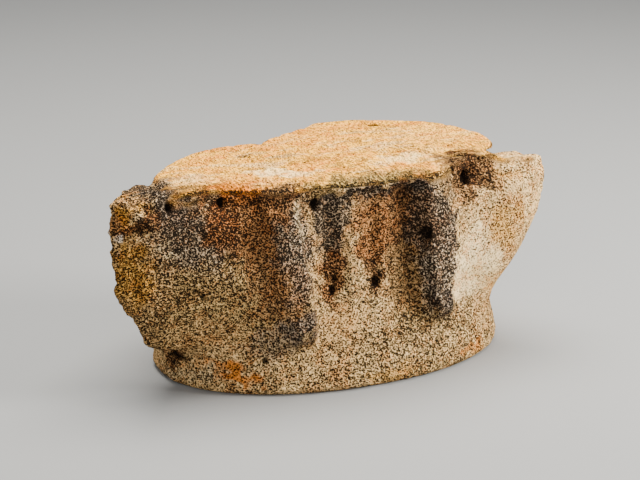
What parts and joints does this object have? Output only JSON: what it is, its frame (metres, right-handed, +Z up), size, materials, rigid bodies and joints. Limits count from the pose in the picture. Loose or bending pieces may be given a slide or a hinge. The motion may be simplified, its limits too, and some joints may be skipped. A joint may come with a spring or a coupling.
{
  "type": "whale vertebra",
  "caption": "Weathered vertebral body of a large baleen whale, drum-shaped, standing on one end face, with broken roots of its arch and side processes.",
  "frame": {"origin": "middle of the bounding box's bottom, on the lower end face that the bone rests on", "axes": "+X along the transverse processes, towards the shorter, paler one; -Y towards the dorsal side with the two pedicle roots; +Z up, along the vertebra's own axis"},
  "size_m": [0.3502, 0.1842, 0.1617],
  "materials": {
    "bone": "matte"
  },
  "bodies": {
    "root": {"whale_vertebra": "bone"}
  },
  "joints": []
}
